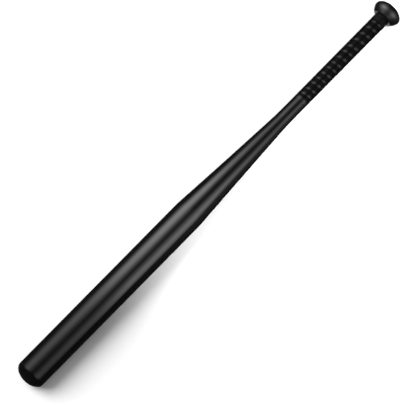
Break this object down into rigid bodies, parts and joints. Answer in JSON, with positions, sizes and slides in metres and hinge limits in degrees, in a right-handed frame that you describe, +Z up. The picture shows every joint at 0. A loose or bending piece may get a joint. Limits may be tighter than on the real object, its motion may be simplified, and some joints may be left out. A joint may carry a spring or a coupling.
{
  "type": "baseball bat",
  "caption": "Black metal baseball bat with a straight round barrel and domed end, a long taper, a spiral-wound grip and a mushroom knob.",
  "frame": {"origin": "on the ground below the middle of the bat, which lies on its barrel; the bat's axis is one barrel radius above it", "axes": "+X along the bat from the barrel to the knob, +Z up, +Y to the left of +X"},
  "size_m": [0.864, 0.05, 0.05],
  "materials": {
    "black_paint": "satin black coat on aluminium alloy, the weld bead at the knob included",
    "cap_plastic": "satin black, moulded, to match the barrel",
    "adhesive": "cured adhesive",
    "foam": "closed-cell foam",
    "plug_rubber": "matt black rubber",
    "underlay_foam": "thin soft backing",
    "grip_leather": "black synthetic leather tape with a fine grain",
    "band_tape": "smooth black vinyl tape"
  },
  "bodies": {
    "root": {"barrel_tube": "black_paint", "end_cap": "cap_plastic", "cap_bond": "adhesive", "barrel_foam": "foam", "handle_plug": "foam", "knob": "black_paint", "knob_weld": "black_paint", "knob_plug": "plug_rubber", "grip_underlay": "underlay_foam", "grip_tape": "grip_leather", "upper_band": "band_tape", "lower_band": "band_tape"}
  },
  "joints": []
}
